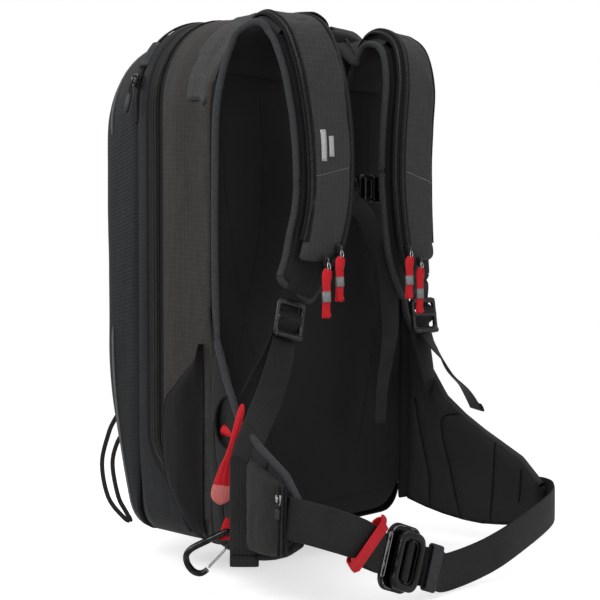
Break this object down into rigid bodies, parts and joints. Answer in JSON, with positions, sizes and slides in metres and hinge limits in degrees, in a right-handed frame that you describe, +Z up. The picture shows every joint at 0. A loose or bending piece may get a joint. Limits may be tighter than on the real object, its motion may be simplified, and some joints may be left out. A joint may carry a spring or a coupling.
{
  "type": "avalanche airbag backpack",
  "caption": "Ski touring backpack with a blower-driven avalanche airbag in its rear compartment, padded shoulder straps, and a hip belt with a hook buckle.",
  "frame": {"origin": "middle of the underside, on the base panel under the seam between the two compartments", "axes": "+Z up along the pack, -Y towards the wearer's back, +X towards the wearer's left side"},
  "size_m": [0.4306, 0.4245, 0.5878],
  "materials": {
    "ripstop": "brown-black ripstop nylon, matte",
    "burst_fabric": "black ripstop nylon, matte",
    "booster_fabric": "navy-black dobby nylon, matte",
    "stretch": "black stretch fabric over foam",
    "webbing": "black woven webbing",
    "red_webbing": "red woven webbing",
    "airbag_nylon": "orange coated nylon",
    "sheet": "black polyethylene",
    "casing": "dark grey moulded nylon",
    "buckle_plastic": "black acetal",
    "keeper_rubber": "dark grey rubber",
    "impeller_plastic": "pale grey moulded nylon",
    "signal_plastic": "red plastic",
    "anodised": "black anodised",
    "bare_aluminium": "satin",
    "steel": "bright",
    "zip_metal": "black enamel"
  },
  "bodies": {
    "pack": {"back_panel": "stretch", "frame_sheet": "sheet", "frame_stays": "bare_aluminium", "base_panel": "burst_fabric", "side_panels": "ripstop", "burst_cover": "burst_fabric", "booster_gusset": "booster_fabric", "front_shell": "booster_fabric", "side_pockets": "stretch", "haul_loop": "webbing", "ski_loop": "webbing", "blower_casing": "casing", "blower_cover": "casing", "cover_screws": "steel", "motor": "bare_aluminium", "bearings": "steel", "outlet_duct": "casing", "folded_airbag": "airbag_nylon", "battery_pack": "casing", "control_box": "casing", "control_lid": "casing", "trigger_cable": "casing", "strap_pad_right": "stretch", "strap_pad_left": "stretch", "strap_sleeve_right": "ripstop", "strap_sleeve_left": "ripstop"},
    "fan": {"rotor_shaft": "steel", "impeller": "impeller_plastic"},
    "valve": {"valve_flap": "keeper_rubber"},
    "power_key": {"power_button": "signal_plastic"},
    "trigger": {"trigger_handle": "signal_plastic"},
    "lock_right": {"ladder_lock_right": "buckle_plastic"},
    "lock_left": {"ladder_lock_left": "buckle_plastic"},
    "sternum": {"sternum_strap_right": "webbing", "sternum_socket": "buckle_plastic"},
    "sternum_plug": {"sternum_strap_left": "webbing"},
    "hip_right": {"hip_fin_right": "stretch", "hip_pocket": "ripstop", "adjuster_webbing_right": "webbing", "belt_webbing_right": "webbing", "belt_loop": "red_webbing", "buckle_plate": "anodised"},
    "hip_left": {"hip_fin_left": "stretch", "adjuster_webbing_left": "webbing", "belt_webbing_left": "webbing"},
    "ring": {"hook_ring": "anodised"},
    "keeper": {"belt_keeper": "keeper_rubber"},
    "hip_slider": {"hip_zip_slider": "zip_metal"},
    "leg_strap": {"leg_strap_tab": "red_webbing"},
    "carabiner": {"carabiner": "anodised"},
    "gate": {"carabiner_gate": "steel"},
    "booster_slider": {"booster_zip_slider": "zip_metal"},
    "inner_slider_right": {"inner_slider_right": "zip_metal"},
    "inner_pull_right": {"inner_pull_right": "red_webbing"},
    "outer_slider_right": {"outer_slider_right": "zip_metal"},
    "outer_pull_right": {"outer_pull_right": "red_webbing"},
    "inner_slider_left": {"inner_slider_left": "zip_metal"},
    "inner_pull_left": {"inner_pull_left": "red_webbing"},
    "outer_slider_left": {"outer_slider_left": "zip_metal"},
    "outer_pull_left": {"outer_pull_left": "red_webbing"}
  },
  "joints": [
    {"name": "fan_spin", "type": "hinge", "parent": "pack", "child": "fan", "pos_m": [0, -0.04, 0.318], "axis": [0, 1, 0], "continuous": true},
    {"name": "valve_open", "type": "hinge", "parent": "pack", "child": "valve", "pos_m": [-0.031, -0.029, 0.39475], "axis": [-1, 0, 0], "range_deg": [0, 35]},
    {"name": "power_press", "type": "slide", "parent": "pack", "child": "power_key", "axis": [0, -1, 0], "range_m": [0, 0.0015]},
    {"name": "trigger_pull", "type": "slide", "parent": "pack", "child": "trigger", "axis": [0.1769, 0.0491, -0.983], "range_m": [0, 0.025]},
    {"name": "lock_right_tilt", "type": "hinge", "parent": "pack", "child": "lock_right", "pos_m": [-0.10525, -0.15577, 0.24669], "axis": [-0.9491, 0.2017, 0.2419], "range_deg": [-5, 40]},
    {"name": "lock_left_tilt", "type": "hinge", "parent": "pack", "child": "lock_left", "pos_m": [0.10525, -0.15577, 0.24669], "axis": [-0.9491, -0.2017, -0.2419], "range_deg": [-5, 40]},
    {"name": "sternum_height", "type": "slide", "parent": "pack", "child": "sternum", "axis": [0, 0, 1], "range_m": [-0.03, 0.04]},
    {"name": "sternum_release", "type": "slide", "parent": "sternum", "child": "sternum_plug", "axis": [1, 0, 0], "range_m": [0, 0.02]},
    {"name": "hip_right_fold", "type": "hinge", "parent": "pack", "child": "hip_right", "pos_m": [-0.155, -0.103, 0], "axis": [0, 0, 1], "range_deg": [0, 20]},
    {"name": "hip_left_open", "type": "hinge", "parent": "pack", "child": "hip_left", "pos_m": [0.155, -0.103, 0], "axis": [0, 0, 1], "range_deg": [0, 30]},
    {"name": "ring_tilt", "type": "hinge", "parent": "hip_left", "child": "ring", "pos_m": [-0.06603, -0.2885, 0.00319], "axis": [0.342, 0, 0.9397], "range_deg": [0, 40]},
    {"name": "keeper_slide", "type": "slide", "parent": "hip_left", "child": "keeper", "axis": [0.9397, 0, -0.342], "range_m": [-0.002, 0.012]},
    {"name": "hip_zip", "type": "slide", "parent": "hip_right", "child": "hip_slider", "axis": [0, 0, -1], "range_m": [0, 0.03]},
    {"name": "leg_strap_swing", "type": "hinge", "parent": "pack", "child": "leg_strap", "pos_m": [-0.172, -0.143, 0.15], "axis": [-0.7317, 0.6816, 0], "range_deg": [0, 18]},
    {"name": "carabiner_swing", "type": "hinge", "parent": "pack", "child": "carabiner", "pos_m": [-0.1835, -0.147, 0.024], "axis": [-0.682, -0.7314, 0], "range_deg": [-25, 25]},
    {"name": "gate_open", "type": "hinge", "parent": "carabiner", "child": "gate", "pos_m": [-0.19547, -0.13584, -0.00005], "axis": [-0.682, -0.7314, 0], "range_deg": [0, 18], "stiffness_Nm_per_rad": 0.02},
    {"name": "booster_zip", "type": "hinge", "parent": "pack", "child": "booster_slider", "pos_m": [-0.044, 0.028, 0.453], "axis": [0, 1, 0], "range_deg": [-16, 70]},
    {"name": "inner_zip_right", "type": "slide", "parent": "pack", "child": "inner_slider_right", "axis": [0.2143, -0.074, 0.974], "range_m": [0, 0.05]},
    {"name": "inner_pull_right_swing", "type": "hinge", "parent": "inner_slider_right", "child": "inner_pull_right", "pos_m": [-0.062, -0.1888, 0.3018], "axis": [-1, 0, 0], "range_deg": [0, 110]},
    {"name": "outer_zip_right", "type": "slide", "parent": "pack", "child": "outer_slider_right", "axis": [0.2143, -0.074, 0.974], "range_m": [0, 0.05]},
    {"name": "outer_pull_right_swing", "type": "hinge", "parent": "outer_slider_right", "child": "outer_pull_right", "pos_m": [-0.081, -0.1882, 0.2898], "axis": [-1, 0, 0], "range_deg": [0, 110]},
    {"name": "inner_zip_left", "type": "slide", "parent": "pack", "child": "inner_slider_left", "axis": [-0.2143, -0.074, 0.974], "range_m": [0, 0.05]},
    {"name": "inner_pull_left_swing", "type": "hinge", "parent": "inner_slider_left", "child": "inner_pull_left", "pos_m": [0.05, -0.1888, 0.3018], "axis": [-1, 0, 0], "range_deg": [0, 110]},
    {"name": "outer_zip_left", "type": "slide", "parent": "pack", "child": "outer_slider_left", "axis": [-0.2143, -0.074, 0.974], "range_m": [0, 0.05]},
    {"name": "outer_pull_left_swing", "type": "hinge", "parent": "outer_slider_left", "child": "outer_pull_left", "pos_m": [0.069, -0.1882, 0.2898], "axis": [-1, 0, 0], "range_deg": [0, 110]}
  ]
}
